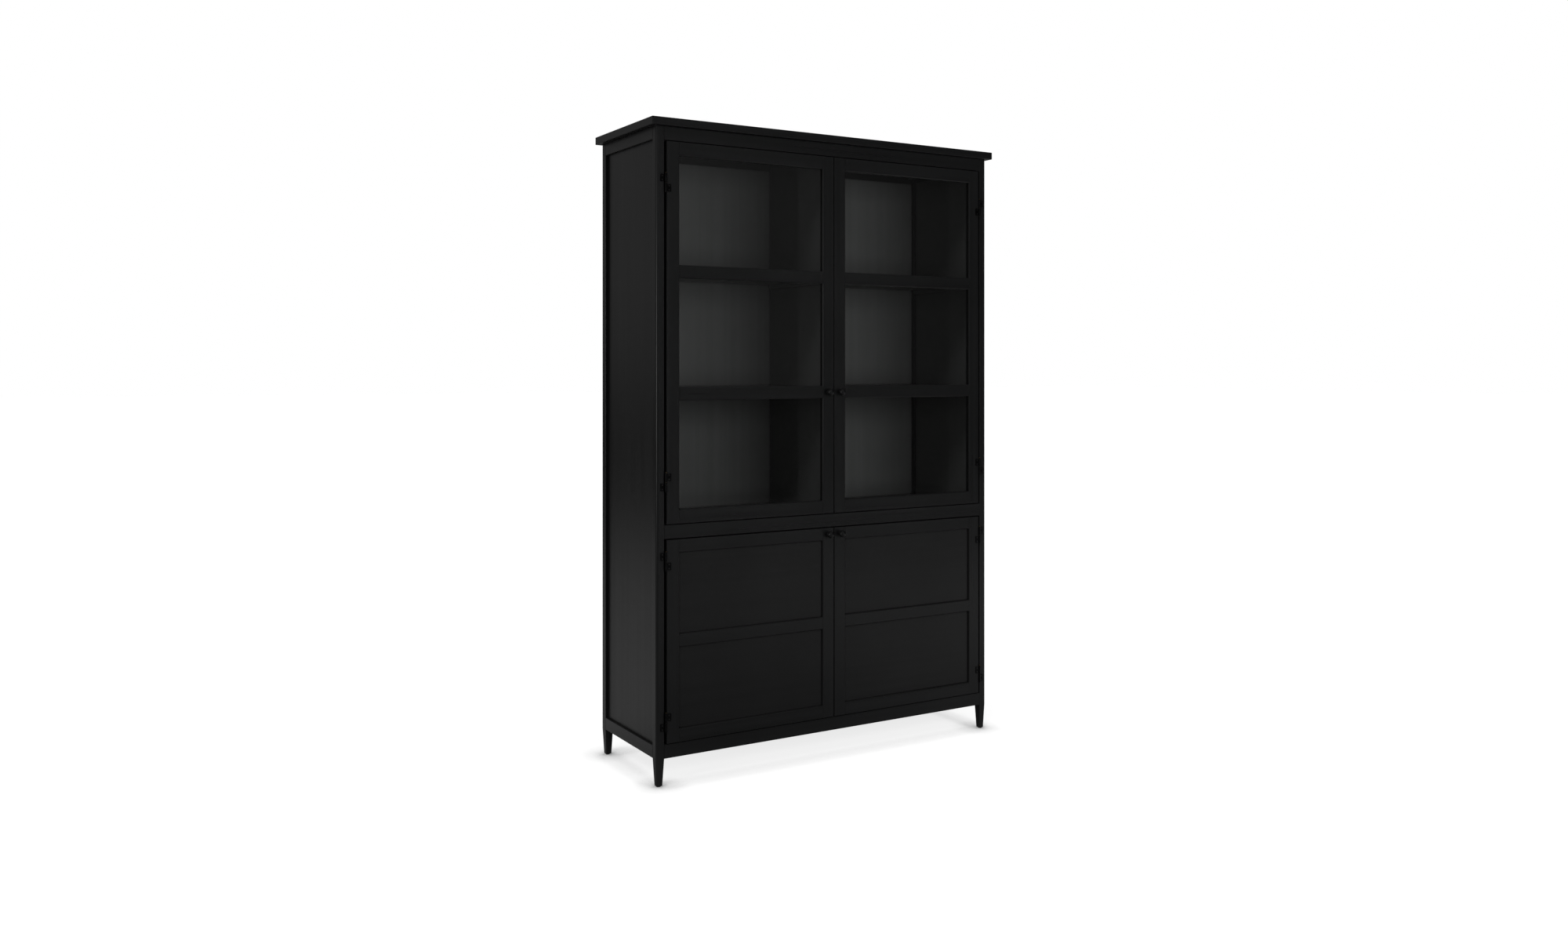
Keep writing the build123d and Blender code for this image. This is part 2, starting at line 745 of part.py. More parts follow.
def finish_stiles(hinge_stile, meeting_stile, side, door, z_knob):
    """Screw holes for the hinges and the knob, and the seat of the strike disc."""
    for z_hinge, post_part in door_hinges(door):
        for hole in leaf_screw_holes(side, z_hinge, -post_part, on_post=False):
            hinge_stile -= hole
    meeting_stile -= knob_hole(side, z_knob)
    meeting_stile -= strike(side, door)
    return hinge_stile, meeting_stile


def strike(side, door):
    """A steel disc let into a door's back, opposite its magnet."""
    return catch_disc(side, door[1], door_back - strike_thickness, strike_diameter,
                      strike_thickness)


def pane(side, z_span):
    """A pane of glass with play all round in its rebate."""
    return side_block(side, grown(opening_u, rebate_width - glass_play),
                      (glass_front, glass_back), grown(z_span, rebate_width - glass_play))


def glazing_beads(side, z_span):
    """Four rounded sticks that hold a pane in its rebate from behind."""
    y_span = (glass_back + bead_clearance, door_back)
    outer = rebate_width - bead_clearance
    u_low, u_high = opening_u
    beads = []
    for low, high in ((z_span[0] - outer, z_span[0]), (z_span[1], z_span[1] + outer)):
        beads.append(side_block(side, grown(opening_u, outer), y_span, (low, high)))
    inner_z = grown(z_span, -bead_clearance)
    for low, high in ((u_low - outer, u_low), (u_high, u_high + outer)):
        beads.append(side_block(side, (low, high), y_span, inner_z))
    middle_x = side * (u_low + u_high) / 2
    middle_z = (z_span[0] + z_span[1]) / 2
    rounded = []
    for index, bead in enumerate(beads):
        axis = Axis.X if index < 2 else Axis.Z
        inside = bead.edges().filter_by(axis).sort_by(
            lambda e: abs(e.center().X - middle_x) + abs(e.center().Z - middle_z)
            - e.center().Y)[0]
        rounded.append(fillet(inside, bead_round))
    return rounded


def door_panel(side, z_span):
    """A flat panel of a lower door, short of its grooves' bottoms."""
    reach = groove_depth - panel_end_play
    y_front = door_front + door_panel_setback
    return side_block(side, grown(opening_u, reach), (y_front, y_front + door_panel_thickness),
                      grown(z_span, reach))


def door_hardware(name, side, door, z_knob):
    """Write one door's knob, hinge leaves, and its fixings: screws and strike disc."""
    hinges = door_hinges(door)
    write(name + "_knob", knob(side, z_knob))
    write(name + "_hinge_leaves",
          *[hinge_leaf(side, z, -part, on_post=False) for z, part in hinges])
    screws = [screw for z, part in hinges
              for screw in leaf_screws(side, z, -part, on_post=False)]
    write(name + "_fixings", *screws, knob_screw(side, z_knob), strike(side, door))


def write_glazed_door(side_name, side):
    name = "upper_" + side_name + "_door"
    openings = glazed_openings()
    z_knob = (openings[0][1] + openings[1][0]) / 2
    hinge_stile, meeting_stile, bars = door_frame(side, upper_door, openings, rebate)
    hinge_stile, meeting_stile = finish_stiles(hinge_stile, meeting_stile, side, upper_door,
                                               z_knob)
    write(name + "_hinge_stile", hinge_stile)
    write(name + "_meeting_stile", meeting_stile)
    write(name + "_rails", bars[0], bars[-1])
    write(name + "_glazing_bars", *bars[1:-1])
    write(name + "_glass", *[pane(side, z_span) for z_span in openings])
    write(name + "_glazing_beads",
          *[bead for z_span in openings for bead in glazing_beads(side, z_span)])
    door_hardware(name, side, upper_door, z_knob)


def write_panelled_door(side_name, side):
    name = "lower_" + side_name + "_door"
    openings = panelled_openings()
    z_knob = lower_door[1] - lower_door_rail_height / 2
    hinge_stile, meeting_stile, bars = door_frame(side, lower_door, openings, panel_groove)
    hinge_stile, meeting_stile = finish_stiles(hinge_stile, meeting_stile, side, lower_door,
                                               z_knob)
    write(name + "_hinge_stile", hinge_stile)
    write(name + "_meeting_stile", meeting_stile)
    write(name + "_rails", *bars)
    write(name + "_panels", *[door_panel(side, z_span) for z_span in openings])
    door_hardware(name, side, lower_door, z_knob)


# ---------------------------------------------------------------- decks and shelves
panes = glazed_openings()
lower_shelf_top = crossbars(lower_door, panelled_openings())[1][1] - shelf_below_bar_top
upper_shelf_tops = [pane[0] - shelf_below_bar_top for pane in panes[1:]]


def write_boards():
    deck_y = (rail_back, back_rail_front)
    bottom_deck = board(bottom_rail_top, side_rail_inside - board_play, deck_y, True)
    middle_deck = board(mid_rail_top, panel_inside - board_play, deck_y, True)
    lower_housing = partition_housing(lower_bay)
    write("bottom_deck", bottom_deck - lower_housing)
    write("middle_deck", middle_deck - lower_housing - partition_housing(upper_bay))
    write("partitions", partition(lower_bay), partition(upper_bay))
    write("lower_shelves", *[half_shelf(side, lower_shelf_top) for side in SIDES.values()])
    write("upper_shelves", *[half_shelf(side, top)
                             for side in SIDES.values() for top in upper_shelf_tops])
    write("shelf_cleats", *[cleat(*place) for place in cleat_places()])
    write("cleat_screws", *[screw for place in cleat_places()
                            for screw in cleat_screws(*place)])


def write_carcass():
    for side_name, side in SIDES.items():
        write("front_" + side_name + "_post", post(side, is_front=True))
        write("back_" + side_name + "_post", post(side, is_front=False))
        write(side_name + "_side_panel", side_panel(side))
    for name, z_middle in rail_middles.items():
        write("front_" + name + "_rail", front_rail(z_middle))
    write("back_rails", *[back_rail(z) for z in rail_middles.values()])
    write("side_rails", *[side_rail(side, z_middle)
                          for side in SIDES.values() for z_middle in side_rail_middles])
    write("back_panels", *[back_panel(z_span) for z_span in back_openings])
    write("top_board", top_board())
    corners = [(side, is_front) for side in SIDES.values() for is_front in (True, False)]
    write("foot_glides", *[foot_glide(side, is_front) for side, is_front in corners])
    write("corner_blocks", *[corner_block(side, is_front) for side, is_front in corners])
    write("top_fixing_screws", *[top_fixing_screw(side, is_front)
                                 for side, is_front in corners])


def write_carcass_hardware():
    stops = ((upper_door[1], under_top), (lower_door[1], mid_rail_top - board_thickness))
    write("door_stops", *[door_stop(door_top, z_top) for door_top, z_top in stops])
    write("catch_magnets", *[magnet(side, door_top)
                             for door_top, z_top in stops for side in SIDES.values()])
    places = [(side, z, part) for side in SIDES.values() for z, part in hinge_places()]
    write("post_hinge_leaves", *[hinge_leaf(side, z, part, on_post=True)
                                 for side, z, part in places])
    write("hinge_pins", *[hinge_pin(side, z) for side, z, part in places])
    write("post_hinge_screws", *[screw for side, z, part in places
                                 for screw in leaf_screws(side, z, part, on_post=True)])


os.makedirs("parts", exist_ok=True)
write_carcass()
write_boards()
write_carcass_hardware()
for side_name, side in SIDES.items():
    write_glazed_door(side_name, side)
    write_panelled_door(side_name, side)
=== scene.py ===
# %% [markdown]
# # A black china cabinet with glass doors
#
# The cabinet is a joiner's piece: slim square posts that taper into legs, framed sides and
# doors, three glass panes in each upper door and two flat panels in each lower one. All of
# it is painted satin black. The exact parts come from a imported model. This lesson gives them
# their finishes, turns four better knobs, and sets up a pale studio round the cabinet.
#
# Everything is in metres: +X to the right, +Y to the back and +Z up.

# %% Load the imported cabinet
import json
import math

import bpy
import numpy as np
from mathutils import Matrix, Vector


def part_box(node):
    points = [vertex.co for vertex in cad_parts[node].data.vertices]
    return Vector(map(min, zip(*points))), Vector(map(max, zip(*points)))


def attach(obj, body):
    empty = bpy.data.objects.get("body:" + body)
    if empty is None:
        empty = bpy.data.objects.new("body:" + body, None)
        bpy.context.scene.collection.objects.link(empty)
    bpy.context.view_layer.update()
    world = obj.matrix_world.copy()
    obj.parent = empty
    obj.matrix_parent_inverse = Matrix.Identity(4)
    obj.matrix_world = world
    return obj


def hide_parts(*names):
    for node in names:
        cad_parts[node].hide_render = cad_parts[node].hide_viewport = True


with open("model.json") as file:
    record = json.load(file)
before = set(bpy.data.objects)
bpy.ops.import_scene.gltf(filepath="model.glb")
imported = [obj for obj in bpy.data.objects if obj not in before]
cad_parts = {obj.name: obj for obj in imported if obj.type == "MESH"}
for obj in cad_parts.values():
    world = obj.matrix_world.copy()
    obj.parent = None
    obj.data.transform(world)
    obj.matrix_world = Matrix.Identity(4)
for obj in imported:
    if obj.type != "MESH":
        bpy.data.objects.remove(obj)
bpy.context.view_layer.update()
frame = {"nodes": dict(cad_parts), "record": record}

# %% [markdown]
# ## Working with shader nodes
#
# A procedural finish is a small graph of nodes. Adding nodes by hand is wordy, so five short
# helpers do it. They add a node and set its values, join two sockets, start a material with
# its Principled shader, do one step of arithmetic, and spread a value over a new range.
# Values that are the same all over a surface are set on the shader's own sockets, and only
# values that change over the surface are linked.

# %% Helpers for node graphs
def add(tree, kind, inputs=(), **settings):
    """A node of this kind, with its settings and the values of its unlinked inputs."""
    node = tree.nodes.new("ShaderNode" + kind)
    for name, value in settings.items():
        setattr(node, name, value)
    for name, value in dict(inputs).items():
        node.inputs[name].default_value = value
    return node


def join(tree, source, target):
    """Links an output socket to an input socket."""
    tree.links.new(source, target)


def begin(name, **values):
    """A material whose Principled shader has these values, with its tree and shader."""
    material = bpy.data.materials.new(name)
    material.use_nodes = True
    tree = material.node_tree
    tree.nodes.clear()
    shader = add(tree, "BsdfPrincipled", values)
    output = add(tree, "OutputMaterial")
    join(tree, shader.outputs["BSDF"], output.inputs["Surface"])
    return material, tree, shader


def math_node(tree, operation, first, second, clamp=False):
    """The output of a Math node. Each operand is a number or an output socket."""
    node = add(tree, "Math", operation=operation, use_clamp=clamp)
    for index, value in enumerate((first, second)):
        if isinstance(value, (int, float)):
            node.inputs[index].default_value = value
        else:
            join(tree, value, node.inputs[index])
    return node.outputs[0]


def spread(tree, value, low, high, to_low=0.0, to_high=1.0):
    """Takes a value from the range low-high to the range to_low-to_high, held at its ends."""
    node = add(tree, "MapRange", {"From Min": low, "From Max": high,
                                  "To Min": to_low, "To Max": to_high})
    join(tree, value, node.inputs["Value"])
    return node.outputs["Result"]


print("helpers ready")

# %% [markdown]
# ## Effects that several finishes share
#
# Three things happen on more than one surface: the wood's grain shows through the paint, the
# paint wears thin along edges, and dust settles on whatever faces up. Each is a node group,
# so that it is built once and every material places it with its own values. Painting the
# same thing into each material would work too, but a change would then be made ten times.

# %% Start a shared group
def begin_group(name, inputs, outputs):
    """An empty shader group with float or vector sockets, and its two end nodes."""
    group = bpy.data.node_groups.new(name, "ShaderNodeTree")
    for label, kind, value in inputs:
        socket = group.interface.new_socket(label, in_out="INPUT", socket_type="NodeSocket" + kind)
        if value is not None:
            socket.default_value = value
    for label, kind in outputs:
        group.interface.new_socket(label, in_out="OUTPUT", socket_type="NodeSocket" + kind)
    return group, group.nodes.new("NodeGroupInput"), group.nodes.new("NodeGroupOutput")


print("ready to build groups")


# %% Grain under paint
def make_grain():
    """Long streaks, from noise on coordinates that grow faster across the grain than along it.

    Fine noise cut at a threshold gives the pores, noise of a tenth of its scale gives the
    figure, and Height is a low swell from the figure, less the pores.
    """
    group, enter, leave = begin_group(
        "grain_under_paint", [("Vector", "Vector", None)],
        [("Height", "Float"), ("Figure", "Float")])
    pores = add(group, "TexNoise", {"Scale": 1.0, "Detail": 4.0, "Roughness": 0.62})
    figure = add(group, "TexNoise", {"Scale": 0.11, "Detail": 3.0, "Distortion": 0.4})
    for noise in (pores, figure):
        join(group, enter.outputs["Vector"], noise.inputs["Vector"])
    pits = spread(group, pores.outputs["Fac"], 0.56, 0.72, 0.0, 0.45)
    swell = math_node(group, "MULTIPLY", figure.outputs["Fac"], 0.3)
    height = math_node(group, "SUBTRACT", swell, pits)
    join(group, height, leave.inputs["Height"])
    join(group, figure.outputs["Fac"], leave.inputs["Figure"])
    return group


grain_group = make_grain()
print(grain_group.name, "has", len(grain_group.nodes), "nodes")


# %% Worn edges
def make_worn_edges():
    """Where a rounded normal turns away from the true one there is an edge.

    One minus the dot product of the two normals is spread to 0-1 and multiplied by patchy
    noise, so that the wear comes and goes along the edge.
    """
    group, enter, leave = begin_group(
        "worn_edges", [("Vector", "Vector", None), ("Radius", "Float", 0.0012)],
        [("Mask", "Float")])
    rounded = add(group, "Bevel", samples=4)
    join(group, enter.outputs["Radius"], rounded.inputs["Radius"])
    flat = add(group, "NewGeometry")
    dot = add(group, "VectorMath", operation="DOT_PRODUCT")
    join(group, rounded.outputs["Normal"], dot.inputs[0])
    join(group, flat.outputs["Normal"], dot.inputs[1])
    turned = spread(group, math_node(group, "SUBTRACT", 1.0, dot.outputs["Value"]), 0.03, 0.22)
    patches = add(group, "TexNoise", {"Scale": 9.0, "Detail": 5.0, "Roughness": 0.65})
    join(group, enter.outputs["Vector"], patches.inputs["Vector"])
    rubbed = spread(group, patches.outputs["Fac"], 0.42, 0.66)
    join(group, math_node(group, "MULTIPLY", turned, rubbed, clamp=True), leave.inputs["Mask"])
    return group


edge_group = make_worn_edges()
print(edge_group.name, "has", len(edge_group.nodes), "nodes")


# %% Dust on what faces up
def make_dust():
    """The upward part of the normal, spread to 0-1, times cloudy noise."""
    group, enter, leave = begin_group(
        "settled_dust", [("Vector", "Vector", None)], [("Mask", "Float")])
    surface = add(group, "NewGeometry")
    parts = add(group, "SeparateXYZ")
    join(group, surface.outputs["Normal"], parts.inputs[0])
    upward = spread(group, parts.outputs["Z"], 0.6, 1.0)
    clouds = add(group, "TexNoise", {"Scale": 14.0, "Detail": 6.0, "Roughness": 0.7})
    join(group, enter.outputs["Vector"], clouds.inputs["Vector"])
    lying = spread(group, clouds.outputs["Fac"], 0.35, 0.75)
    join(group, math_node(group, "MULTIPLY", upward, lying, clamp=True), leave.inputs["Mask"])
    return group


dust_group = make_dust()
print(dust_group.name, "has", len(dust_group.nodes), "nodes")


# %% Place a group in a material
def place(tree, group, coordinates, **values):
    """The outputs of a shared group, with its Vector linked and its other inputs set."""
    node = add(tree, "Group", node_tree=group)
    for name, value in values.items():
        node.inputs[name].default_value = value
    join(tree, coordinates, node.inputs["Vector"])
    return node.outputs


print("groups", [group.name for group in bpy.data.node_groups])

# %% [markdown]
# ## Satin black paint on wood
#
# The real cabinet is solid wood under a thin black paint. The paint is satin: it gives back
# a soft, dim picture of the room, and the grain shows only where light rakes over it. The
# grain runs along each board, so uprights, rails and depth pieces need the same paint turned
# three ways. A Mapping node scales the coordinates up far more across the board than along
# it, which draws round noise out into streaks. The alternative, one material with a picture
# of wood, would repeat and would need a map on every part.
#
# In narrow gaps and reveals the paint is darkened as painted shade, and made duller.
# Ambient Occlusion over a centimetre finds those places.

# %% One painted finish, turned along any board
GRAIN_LENGTH = 0.16          # metres, along the board
GRAIN_WIDTH = 0.0022         # metres, across it
RECESS_REACH = 0.010         # metres, how near a surface must be to make a recess
ARRIS_RADIUS = 0.0009        # metres, the rounding of an arris in the shading
INWARD_PRODUCT = -0.3        # a side stands 0.65 m out, so its inner face gives about -0.65
WORN_COLOUR, WEAR_SHARE = (0.016, 0.015, 0.014, 1), 0.5      # the share of it at full wear
DUST_COLOUR, DUST_SHARE = (0.060, 0.058, 0.055, 1), 0.12     # and under full dust
# Painted shade: recesses are darkened towards this near-black colour.
RECESS_SHADE_COLOUR = (0.0008, 0.0008, 0.0009, 1)
WEAR_POLISH, DUST_DULLING, RECESS_DULLING = 0.06, 0.15, 0.5  # what each does to roughness


def facing_in(tree):
    """1 on a side panel's inner face, where the position and the normal differ in sign in X."""
    coordinates = add(tree, "TexCoord")
    position, normal = add(tree, "SeparateXYZ"), add(tree, "SeparateXYZ")
    join(tree, coordinates.outputs["Object"], position.inputs[0])
    join(tree, coordinates.outputs["Normal"], normal.inputs[0])
    product = math_node(tree, "MULTIPLY", position.outputs["X"], normal.outputs["X"])
    return math_node(tree, "LESS_THAN", product, INWARD_PRODUCT)


def painted_wood(name, along, dark, light, roughness, grain_depth, inner=None):
    """Black paint over grain that runs along "X", "Y" or "Z".

    Colour mixes dark and light by the figure, lightens on worn edges and under dust, and
    is darkened in recesses as painted shade. Roughness follows the figure, the wear, the
    dust and the recesses.
    Bump height is the grain, on a normal that is rounded over each arris. If a colour is
    given as inner, a side panel's inner face has that instead, a lightened copy of the paint
    as painted light.
    """
    material, tree, shader = begin(name, **{"Specular IOR Level": 0.5, "IOR": 1.5})
    where = add(tree, "TexCoord").outputs["Object"]
    squeeze = add(tree, "Mapping")
    squeeze.inputs["Scale"].default_value = [
        1 / GRAIN_LENGTH if axis == along else 1 / GRAIN_WIDTH for axis in "XYZ"]
    join(tree, where, squeeze.inputs["Vector"])
    grain = place(tree, grain_group, squeeze.outputs["Vector"])
    wear = place(tree, edge_group, where)["Mask"]
    dust = place(tree, dust_group, where)["Mask"]

    mottle = add(tree, "TexNoise", {"Scale": 3.0, "Detail": 3.0})
    join(tree, where, mottle.inputs["Vector"])
    blend = math_node(tree, "MULTIPLY", grain["Figure"], mottle.outputs["Fac"])
    paint = add(tree, "Mix", data_type="RGBA")
    paint.inputs["A"].default_value = (*dark, 1)
    paint.inputs["B"].default_value = (*light, 1)
    join(tree, spread(tree, blend, 0.12, 0.38), paint.inputs["Factor"])
    worn = add(tree, "Mix", data_type="RGBA")
    worn.inputs["B"].default_value = WORN_COLOUR
    join(tree, math_node(tree, "MULTIPLY", wear, WEAR_SHARE), worn.inputs["Factor"])
    join(tree, paint.outputs["Result"], worn.inputs["A"])
    dusty = add(tree, "Mix", data_type="RGBA")
    dusty.inputs["B"].default_value = DUST_COLOUR
    join(tree, math_node(tree, "MULTIPLY", dust, DUST_SHARE), dusty.inputs["Factor"])
    join(tree, worn.outputs["Result"], dusty.inputs["A"])
    # Painted shade: Ambient Occlusion finds recesses, which darken the colour and dull the gloss.
    open_sky = add(tree, "AmbientOcclusion", {"Distance": RECESS_REACH}, samples=4)
    recess_shade = spread(tree, open_sky.outputs["AO"], 0.30, 0.80, 1.0, 0.0)
    shaded = add(tree, "Mix", data_type="RGBA")
    shaded.inputs["B"].default_value = RECESS_SHADE_COLOUR
    join(tree, recess_shade, shaded.inputs["Factor"])
    join(tree, dusty.outputs["Result"], shaded.inputs["A"])
    colour = shaded.outputs["Result"]
    if inner:
        sides = add(tree, "Mix", data_type="RGBA")
        sides.inputs["B"].default_value = (*inner, 1)
        join(tree, facing_in(tree), sides.inputs["Factor"])
        join(tree, colour, sides.inputs["A"])
        colour = sides.outputs["Result"]
    join(tree, colour, shader.inputs["Base Color"])

    satin = spread(tree, grain["Figure"], 0.3, 0.7, roughness - 0.03, roughness + 0.03)
    polished = math_node(tree, "SUBTRACT", satin, math_node(tree, "MULTIPLY", wear, WEAR_POLISH))
    dull = math_node(tree, "ADD", polished, math_node(tree, "MULTIPLY", dust, DUST_DULLING))
    recess_roughening = math_node(tree, "MULTIPLY", recess_shade, RECESS_DULLING)
    matt = math_node(tree, "ADD", dull, recess_roughening, clamp=True)
    join(tree, matt, shader.inputs["Roughness"])

    arris = add(tree, "Bevel", {"Radius": ARRIS_RADIUS}, samples=4)
    relief = add(tree, "Bump", {"Strength": 0.6, "Distance": grain_depth})
    join(tree, arris.outputs["Normal"], relief.inputs["Normal"])
    join(tree, grain["Height"], relief.inputs["Height"])
    join(tree, relief.outputs["Normal"], shader.inputs["Normal"])
    return material


frame_recipe = ((0.0036, 0.0037, 0.0038), (0.0056, 0.0057, 0.0059), 0.30, 0.00005)
paint_upright = painted_wood("black_paint_upright", "Z", *frame_recipe)
paint_across = painted_wood("black_paint_across", "X", *frame_recipe)
paint_deep = painted_wood("black_paint_deep", "Y", *frame_recipe)
print("frame paint", [paint.name for paint in (paint_upright, paint_across, paint_deep)])

# %% [markdown]
# ## Panels and the inside
#
# The panels are thin boards between the frames. Their paint lies flatter, so the relief is
# shallower. Inside, the paint is a single duller coat, which keeps the shelves from shining
# through the glass. Its grey is painted light: the same black paint made many times lighter
# than outside, so that the inside reads lit through the panes. A side panel is one board
# with both faces painted, so its material has to tell the inner face from the outer one and
# gives the inner face the lightened colour.

# %% Panel and interior paint
panel_recipe = ((0.0042, 0.0042, 0.0043), (0.0062, 0.0062, 0.0063), 0.33, 0.00004)
# Painted light: the inner face of a side panel takes a lightened copy of the black paint.
panel_upright = painted_wood("black_panel_upright", "Z", *panel_recipe,
                             inner=(0.058, 0.058, 0.058))
panel_across = painted_wood("black_panel_across", "X", *panel_recipe)
# Painted light: the inside and the back are lightened copies of the black paint, so that they read
# lit through the panes.
inside_lightened_colours = ((0.052, 0.052, 0.052), (0.064, 0.064, 0.064))
inside_across = painted_wood("black_inside_across", "X", *inside_lightened_colours, 0.55, 0.00014)
inside_deep = painted_wood("black_inside_deep", "Y", *inside_lightened_colours, 0.55, 0.00014)
back_upright = painted_wood("black_back_upright", "Z", (0.056, 0.056, 0.056),
                            (0.068, 0.068, 0.068), 0.50, 0.00012)
inside_upright = painted_wood("black_inside_upright", "Z", *inside_lightened_colours, 0.5, 0.00014)
print("panel and interior paint", len(bpy.data.materials), "materials so far")

# %% [markdown]
# ## Glass
#
# Each pane is 4 mm clear float glass. It bends light a little, mirrors a few percent of the
# room, and carries a faint ripple and a thin film. Lamps have to reach the shelves, and a
# path tracer treats glass as a solid wall to shadow rays, so those rays alone meet a
# see-through shader.

# %% Clear panes
def clear_glass():
    """A transmitting shader with a long, low ripple. Shadow rays pass, slightly dimmed."""
    material, tree, shader = begin("clear_glass", **{
        "Base Color": (0.955, 0.965, 0.960, 1), "IOR": 1.5, "Transmission Weight": 1.0})
    where = add(tree, "TexCoord").outputs["Object"]
    ripple = add(tree, "TexNoise", {"Scale": 4.0, "Detail": 1.0})
    join(tree, where, ripple.inputs["Vector"])
    relief = add(tree, "Bump", {"Strength": 0.12, "Distance": 0.0003})
    join(tree, ripple.outputs["Fac"], relief.inputs["Height"])
    join(tree, relief.outputs["Normal"], shader.inputs["Normal"])
    smears = add(tree, "TexNoise", {"Scale": 22.0, "Detail": 6.0, "Roughness": 0.7})
    join(tree, where, smears.inputs["Vector"])
    film = spread(tree, smears.outputs["Fac"], 0.5, 0.8, 0.008, 0.02)
    join(tree, film, shader.inputs["Roughness"])

    path = add(tree, "LightPath")
    passing = add(tree, "BsdfTransparent", {"Color": (0.885, 0.895, 0.890, 1)})
    choice = add(tree, "MixShader")
    output = tree.nodes["Material Output"]
    join(tree, path.outputs["Is Shadow Ray"], choice.inputs[0])
    join(tree, shader.outputs["BSDF"], choice.inputs[1])
    join(tree, passing.outputs["BSDF"], choice.inputs[2])
    join(tree, choice.outputs["Shader"], output.inputs["Surface"])
    return material


glass = clear_glass()
print("glass ready")

# %% [markdown]
# ## Metal and nylon
#
# The hinges are small steel butts, blacked and rubbed, on brass pins. The screws and strike
# discs are bare blackened steel, the catch magnets are nickel plated, and each leg ends in a
# nylon glide. All are tiny, so each gets one noise for colour and a finer one for gloss and
# relief.

# %% One recipe for small metal and plastic parts
def small_part(name, base, worn, metallic, roughness, grit, wear_amount):
    """Cloudy colour, speckled gloss and relief, and edges rubbed towards the colour worn."""
    material, tree, shader = begin(name, **{"Metallic": metallic, "IOR": 1.5})
    where = add(tree, "TexCoord").outputs["Object"]
    specks = add(tree, "TexNoise", {"Scale": 900.0, "Detail": 4.0, "Roughness": 0.6})
    clouds = add(tree, "TexNoise", {"Scale": 120.0, "Detail": 3.0})
    for noise in (specks, clouds):
        join(tree, where, noise.inputs["Vector"])
    wear = place(tree, edge_group, where, Radius=0.0004)["Mask"]
    tone = add(tree, "Mix", data_type="RGBA")
    tone.inputs["A"].default_value = (*[channel * 0.75 for channel in base], 1)
    tone.inputs["B"].default_value = (*base, 1)
    join(tree, spread(tree, clouds.outputs["Fac"], 0.35, 0.65), tone.inputs["Factor"])
    rubbed = add(tree, "Mix", data_type="RGBA")
    rubbed.inputs["B"].default_value = (*worn, 1)
    join(tree, math_node(tree, "MULTIPLY", wear, wear_amount), rubbed.inputs["Factor"])
    join(tree, tone.outputs["Result"], rubbed.inputs["A"])
    join(tree, rubbed.outputs["Result"], shader.inputs["Base Color"])
    gloss = spread(tree, specks.outputs["Fac"], 0.3, 0.7, roughness - 0.08, roughness + 0.08)
    join(tree, gloss, shader.inputs["Roughness"])
    relief = add(tree, "Bump", {"Strength": 0.5, "Distance": grit})
    join(tree, specks.outputs["Fac"], relief.inputs["Height"])
    join(tree, relief.outputs["Normal"], shader.inputs["Normal"])
    return material


hinge_steel = small_part("blackened_steel", (0.030, 0.030, 0.031), (0.14, 0.13, 0.12),
                         1.0, 0.36, 0.00003, 0.8)
pin_brass = small_part("aged_brass", (0.20, 0.14, 0.065), (0.42, 0.31, 0.15),
                       1.0, 0.32, 0.00002, 0.7)
screw_steel = small_part("screw_steel", (0.10, 0.10, 0.10), (0.28, 0.27, 0.26),
                         1.0, 0.34, 0.00002, 0.7)
magnet_nickel = small_part("magnet_nickel", (0.52, 0.50, 0.47), (0.62, 0.60, 0.57),
                           1.0, 0.18, 0.00001, 0.4)
glide_nylon = small_part("glide_nylon", (0.020, 0.020, 0.021), (0.05, 0.05, 0.05),
                         0.0, 0.50, 0.00004, 0.5)
print("small parts ready")

# %% [markdown]
# ## Which finish goes where
#
# The record says which slot each part takes its finish from. Paint also needs to know the
# way each board runs, and a part's name tells that: posts, stiles, side panels and
# partitions stand upright, side rails and cleats run front to back, and the rest run across.

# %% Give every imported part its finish
slot_of = {part["node"]: part["material_slot"] for part in frame["record"]["subparts"]}
BY_SLOT = {"glass": glass, "blackened_steel": hinge_steel, "hinge_pin_brass": pin_brass,
           "screw_steel": screw_steel, "magnet_nickel": magnet_nickel,
           "nylon_glide": glide_nylon}
UPRIGHT_WORDS = ("post", "stile", "side_panel", "partition")
DEEP_WORDS = ("side_rails", "cleats")
PAINTS = {"black_wood": {"Z": paint_upright, "X": paint_across, "Y": paint_deep},
          "black_panel": {"Z": panel_upright, "X": panel_across},
          "black_interior": {"X": inside_across, "Y": inside_deep, "Z": inside_upright},
          "black_knob": {"X": paint_across}}


def board_direction(node):
    """The way a painted part's grain runs, from its name."""
    if any(word in node for word in UPRIGHT_WORDS):
        return "Z"
    return "Y" if any(word in node for word in DEEP_WORDS) else "X"


def finish_for(node):
    """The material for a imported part."""
    slot = slot_of[node]
    if node == "back_panels":
        return back_upright
    return BY_SLOT[slot] if slot in BY_SLOT else PAINTS[slot][board_direction(node)]


for node, part in frame["nodes"].items():
    mesh = part.data
    if not mesh.materials:
        mesh.materials.append(None)
    for index in range(len(mesh.materials)):
        mesh.materials[index] = finish_for(node)
print("finished", len(frame["nodes"]), "parts")

# %% [markdown]
# ## Four turned knobs
#
# A knob comes off a lathe, so it is a surface of revolution: a profile of radius against
# height, carried once round an axis. Modelling it by hand with loops would take longer and
# round less truly. The profile is a short foot and four arcs: a bead, a flare into the neck,
# the swell under the head, and a low dome with a ring that the turner's tool left.

# %% The profile of a knob
ARC_STEPS = 14
KNOB_SIDES = 96


def arc(centre, radii, start, end, steps=ARC_STEPS):
    """Points on an ellipse: centre plus the radii times cosine and sine of the angle."""
    angle = np.radians(np.linspace(start, end, steps))
    return np.column_stack([centre[0] + radii[0] * np.cos(angle),
                            centre[1] + radii[1] * np.sin(angle)])


